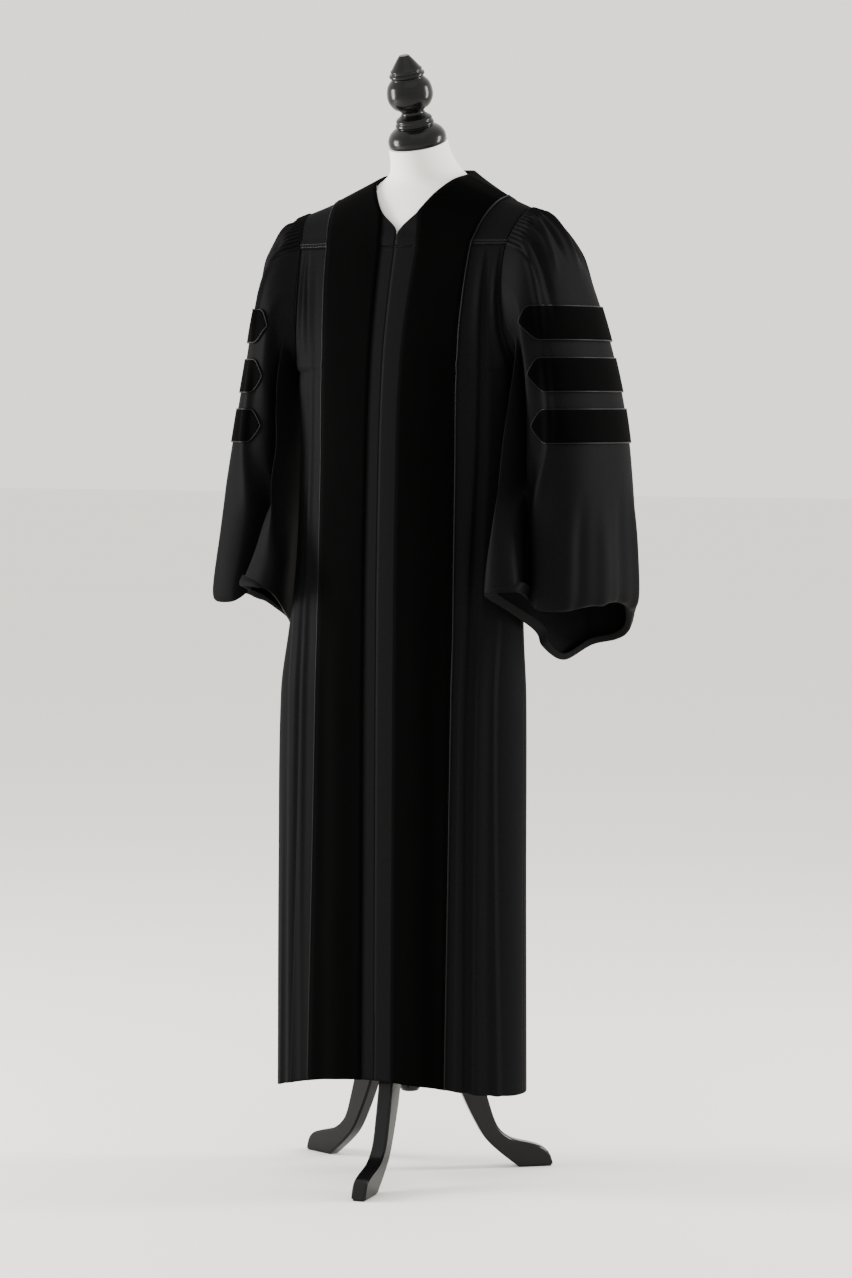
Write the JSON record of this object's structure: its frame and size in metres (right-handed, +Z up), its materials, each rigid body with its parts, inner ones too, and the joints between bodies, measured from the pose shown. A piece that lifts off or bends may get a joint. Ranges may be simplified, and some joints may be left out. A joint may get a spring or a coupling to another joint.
{
  "type": "graduation gown on dress form with tripod stand",
  "caption": "Open-front doctoral gown with velvet bands, sleeve bars and bell sleeves, hung on a limbless dress form on a turned tripod stand.",
  "frame": {"origin": "centre of the bounding box, on the floor plane under the three feet", "axes": "+Z up; the gown faces -Y; the wearer's left sleeve is at +X"},
  "size_m": [0.7244, 0.4217, 1.8441],
  "materials": {
    "gown_cloth": "matt satin-weave suiting",
    "velvet": "short-pile velvet",
    "piping": "satin piping",
    "zip_tape": "woven tape",
    "form_cover": "stretched jersey",
    "black_lacquer": "black gloss lacquer",
    "post_metal": "black paint"
  },
  "bodies": {
    "root": {"front_left": "gown_cloth", "front_right": "gown_cloth", "back": "gown_cloth", "front_yoke_left": "gown_cloth", "front_yoke_right": "gown_cloth", "back_yoke": "gown_cloth", "sleeve_left": "gown_cloth", "sleeve_right": "gown_cloth", "velvet_band_left": "velvet", "velvet_band_right": "velvet", "sleeve_bar_left_1": "velvet", "sleeve_bar_left_2": "velvet", "sleeve_bar_left_3": "velvet", "sleeve_bar_right_1": "velvet", "sleeve_bar_right_2": "velvet", "sleeve_bar_right_3": "velvet", "band_cord_left": "piping", "band_cord_right": "piping", "zip_tape": "zip_tape", "dress_form": "form_cover", "neck_cap": "black_lacquer", "hub": "black_lacquer", "leg_front": "black_lacquer", "leg_left": "black_lacquer", "leg_right": "black_lacquer", "post": "post_metal"}
  },
  "joints": []
}
